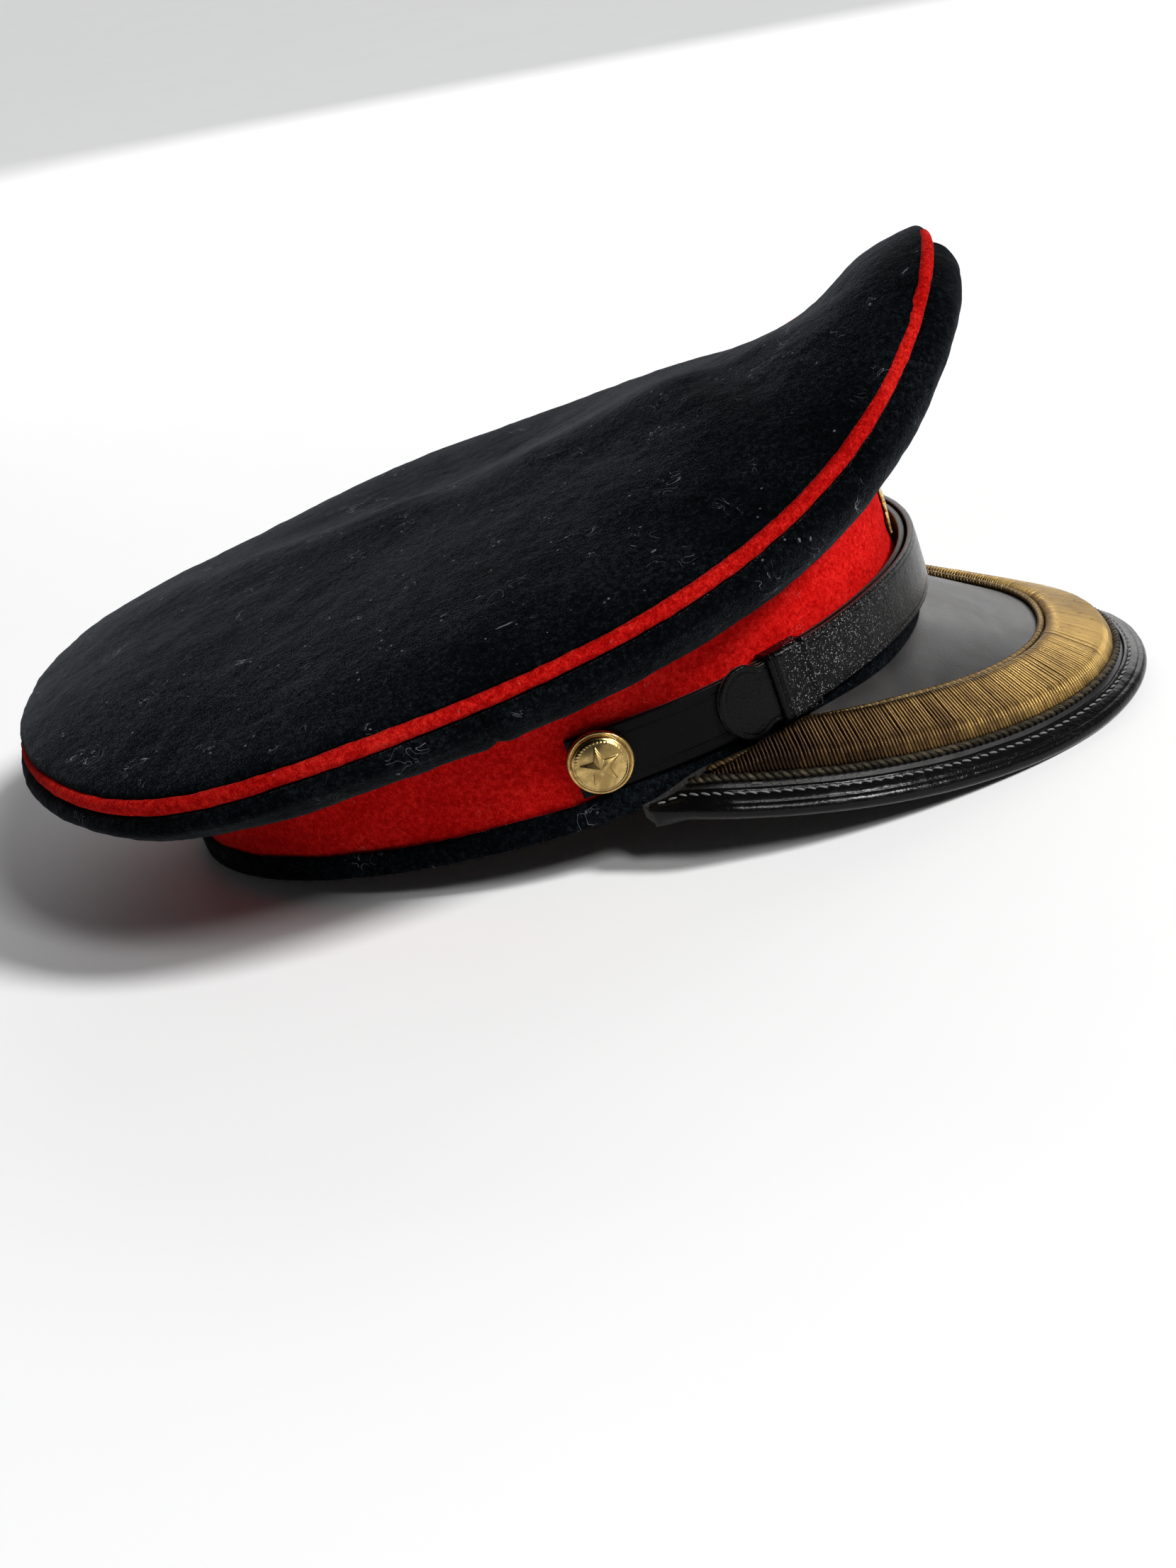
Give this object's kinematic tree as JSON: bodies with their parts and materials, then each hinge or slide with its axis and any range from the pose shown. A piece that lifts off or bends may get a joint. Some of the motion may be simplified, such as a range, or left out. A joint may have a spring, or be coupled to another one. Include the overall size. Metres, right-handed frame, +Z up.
{
  "type": "peaked cap",
  "caption": "Officer's peaked forage cap: raised crown with piping, stiff band, chin strap on side buttons, badge, and a peak with a wire-embroidered crescent and gimp cords.",
  "frame": {"origin": "middle of the cap's bounding box, at the table that it rests on: the rear of the base rim and the edge of the peak touch z = 0", "axes": "+X front, where the peak points; +Y the wearer's left; +Z up. The base plane of the band is tilted front up by 7.52 degrees in this resting attitude"},
  "size_m": [0.3027, 0.237, 0.1271],
  "materials": {
    "navy_cloth": "thick napped wool doeskin, matt, very dark navy",
    "scarlet_cloth": "napped scarlet wool cloth, matt",
    "satin_lining": "satin lining, soft sheen",
    "ribbon": "narrow grosgrain ribbon",
    "buckram": "stiff resin-filled fibre board",
    "clear_plastic": "thin clear sheet",
    "sweat_leather": "brown skiver leather, satin",
    "peak_leather": "smooth black leather, satin",
    "patent_leather": "black patent leather, high gloss, finely crackled",
    "peak_lining": "smooth dark green leather, satin",
    "gold_wire": "laid metal purl, dulled with age",
    "dark_gimp": "twisted dark bronze cord",
    "gold_gimp": "twisted gold bronze cord",
    "gilt": "polished gilt, lightly worn",
    "spring_wire": "plain steel"
  },
  "bodies": {
    "root": {"crown_top": "navy_cloth", "quarter_front_right": "navy_cloth", "quarter_front_left": "navy_cloth", "quarter_rear_right": "navy_cloth", "quarter_rear_left": "navy_cloth", "crown_piping": "scarlet_cloth", "crown_grommet": "spring_wire", "front_stay": "spring_wire", "crown_lining": "satin_lining", "sweat_shield": "clear_plastic", "band_cloth": "scarlet_cloth", "band_stiffener": "buckram", "bottom_welt": "navy_cloth", "sweatband": "sweat_leather", "sweatband_bow": "ribbon", "peak_top": "peak_leather", "peak_board": "buckram", "peak_underside": "peak_lining", "peak_binding": "patent_leather", "gold_crescent": "gold_wire", "gimp_outer": "dark_gimp", "gimp_inner": "gold_gimp", "button_clip_right": "spring_wire", "button_clip_left": "spring_wire", "badge": "gilt", "badge_pin": "spring_wire"},
    "chinstrap": {"strap_inner": "patent_leather", "strap_outer": "patent_leather"},
    "keeper_right": {"keeper_right": "patent_leather"},
    "keeper_left": {"keeper_left": "patent_leather"},
    "button_right": {"button_shell_right": "gilt", "button_back_right": "gilt"},
    "button_left": {"button_shell_left": "gilt", "button_back_left": "gilt"}
  },
  "joints": [
    {"name": "chinstrap_lift", "type": "hinge", "parent": "root", "child": "chinstrap", "pos_m": [0.0037, 0, 0.03206], "axis": [0, -1, 0], "range_deg": [0, 3.3]},
    {"name": "keeper_right_slide", "type": "hinge", "parent": "chinstrap", "child": "keeper_right", "pos_m": [0.0025, 0.01138, 0.0314], "axis": [-0.1309, 0, 0.9914], "range_deg": [0, 6]},
    {"name": "keeper_left_slide", "type": "hinge", "parent": "chinstrap", "child": "keeper_left", "pos_m": [0.0025, -0.01138, 0.0314], "axis": [0.1309, 0, -0.9914], "range_deg": [0, 6]},
    {"name": "button_right_spin", "type": "hinge", "parent": "root", "child": "button_right", "pos_m": [0.0037, 0, 0.03206], "axis": [0, -1, 0], "continuous": true},
    {"name": "button_left_spin", "type": "hinge", "parent": "root", "child": "button_left", "pos_m": [0.0037, 0, 0.03206], "axis": [0, 1, 0], "continuous": true}
  ]
}
